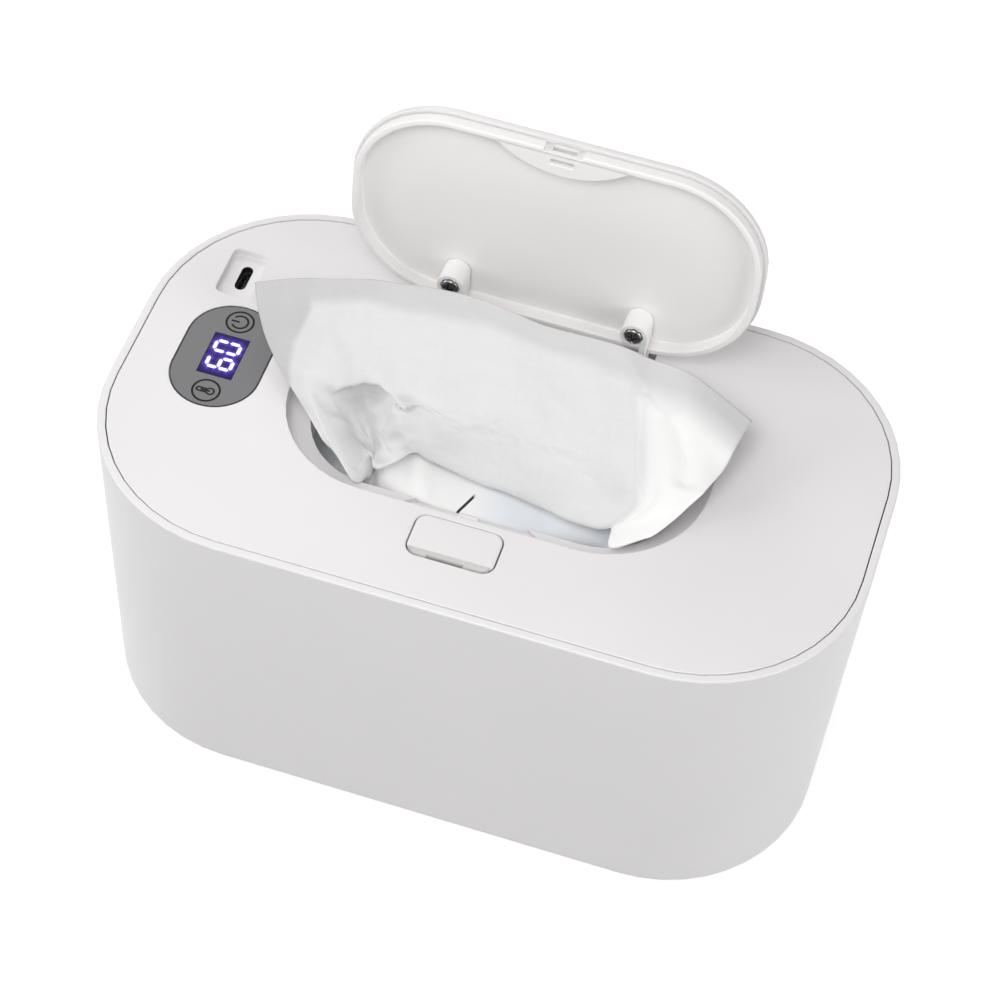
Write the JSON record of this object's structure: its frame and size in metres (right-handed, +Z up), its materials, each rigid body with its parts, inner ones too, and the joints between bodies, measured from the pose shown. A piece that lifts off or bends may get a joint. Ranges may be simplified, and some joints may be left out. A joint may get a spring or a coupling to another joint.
{
  "type": "baby wipe warmer",
  "caption": "Rounded countertop box that keeps wet wipes warm: a sprung lid with a push-button latch over the dispensing opening, and touch keys, a display and a power inlet on the deck.",
  "frame": {"origin": "middle of the footprint, on the surface that the feet stand on", "axes": "+X along the length, to the right as seen from the front; -Y towards the front, where the latch button is; +Z up"},
  "size_m": [0.21, 0.123, 0.1685],
  "materials": {
    "white_shell": "satin",
    "white_inner": "fine satin",
    "silicone": "matt",
    "rubber": "matt",
    "aluminium": "rolled",
    "polyimide": "satin",
    "black_plastic": "matt",
    "grey_film": "satin film",
    "display_glass": "polished",
    "display_body": "matt",
    "board": "satin",
    "steel": "plated",
    "spring_steel": "drawn wire",
    "cloth": "nonwoven",
    "packet": "soft film",
    "black_lead": "matt",
    "red_lead": "matt"
  },
  "bodies": {
    "base": {"tub_shell": "white_shell", "foot_1": "rubber", "foot_2": "rubber", "foot_3": "rubber", "foot_4": "rubber", "wipe_packet": "packet"},
    "top_cover": {"deck_panel": "white_shell", "inner_tray": "white_inner", "cover_seal": "silicone", "throat_gasket": "silicone", "heat_plate": "aluminium", "heater_film": "polyimide", "thermal_fuse": "black_plastic", "temperature_sensor": "black_plastic", "control_membrane": "grey_film", "display_window": "display_glass", "display_module": "display_body", "control_board": "board", "usb_shell": "steel", "usb_tongue": "black_plastic", "wipe_sheet": "cloth", "lead_1": "black_lead", "lead_2": "red_lead", "lead_3": "black_lead", "touch_spring_1": "spring_steel", "touch_spring_2": "spring_steel", "board_screw_1": "steel", "board_screw_2": "steel", "cover_screw_1": "steel", "cover_screw_2": "steel", "cover_screw_3": "steel", "cover_screw_4": "steel", "cover_screw_5": "steel", "cover_screw_6": "steel", "cover_screw_7": "steel", "latch_retainer": "white_inner", "latch_spring_1": "spring_steel", "latch_spring_2": "spring_steel", "latch_screw_1": "steel", "latch_screw_2": "steel", "hinge_pin_left": "steel", "hinge_pin_right": "steel"},
    "latch_button": {"latch_button": "white_shell"},
    "latch_slide": {"latch_slide": "white_inner"},
    "lid": {"lid_cover": "white_shell", "lid_liner": "white_inner", "hinge_arm_left": "white_inner", "hinge_arm_right": "white_inner", "lid_screw_left": "steel", "lid_screw_right": "steel", "hinge_spring_left": "spring_steel", "hinge_spring_right": "spring_steel"}
  },
  "joints": [
    {"name": "cover_lift", "type": "slide", "parent": "base", "child": "top_cover", "axis": [0, 0, 1], "range_m": [0, 0.03]},
    {"name": "lid_hinge", "type": "hinge", "parent": "top_cover", "child": "lid", "pos_m": [0, 0.03995, 0.0995], "axis": [1, 0, 0], "range_deg": [0, 94], "stiffness_Nm_per_rad": 0.004, "springref_deg": -28.65, "deforming": ["wipe_sheet"]},
    {"name": "latch_press", "type": "slide", "parent": "top_cover", "child": "latch_button", "axis": [0, 0, -1], "range_m": [0, 0.0012], "stiffness_N_per_m": 800, "springref_m": -0.002, "deforming": ["latch_spring_1", "latch_spring_2"]},
    {"name": "latch_slide_move", "type": "slide", "parent": "top_cover", "child": "latch_slide", "axis": [0, -1, 0], "range_m": [0, 0.0012]}
  ],
  "couplings": [
    {"joint": "latch_slide_move", "follows": "latch_press", "ratio": 1}
  ]
}
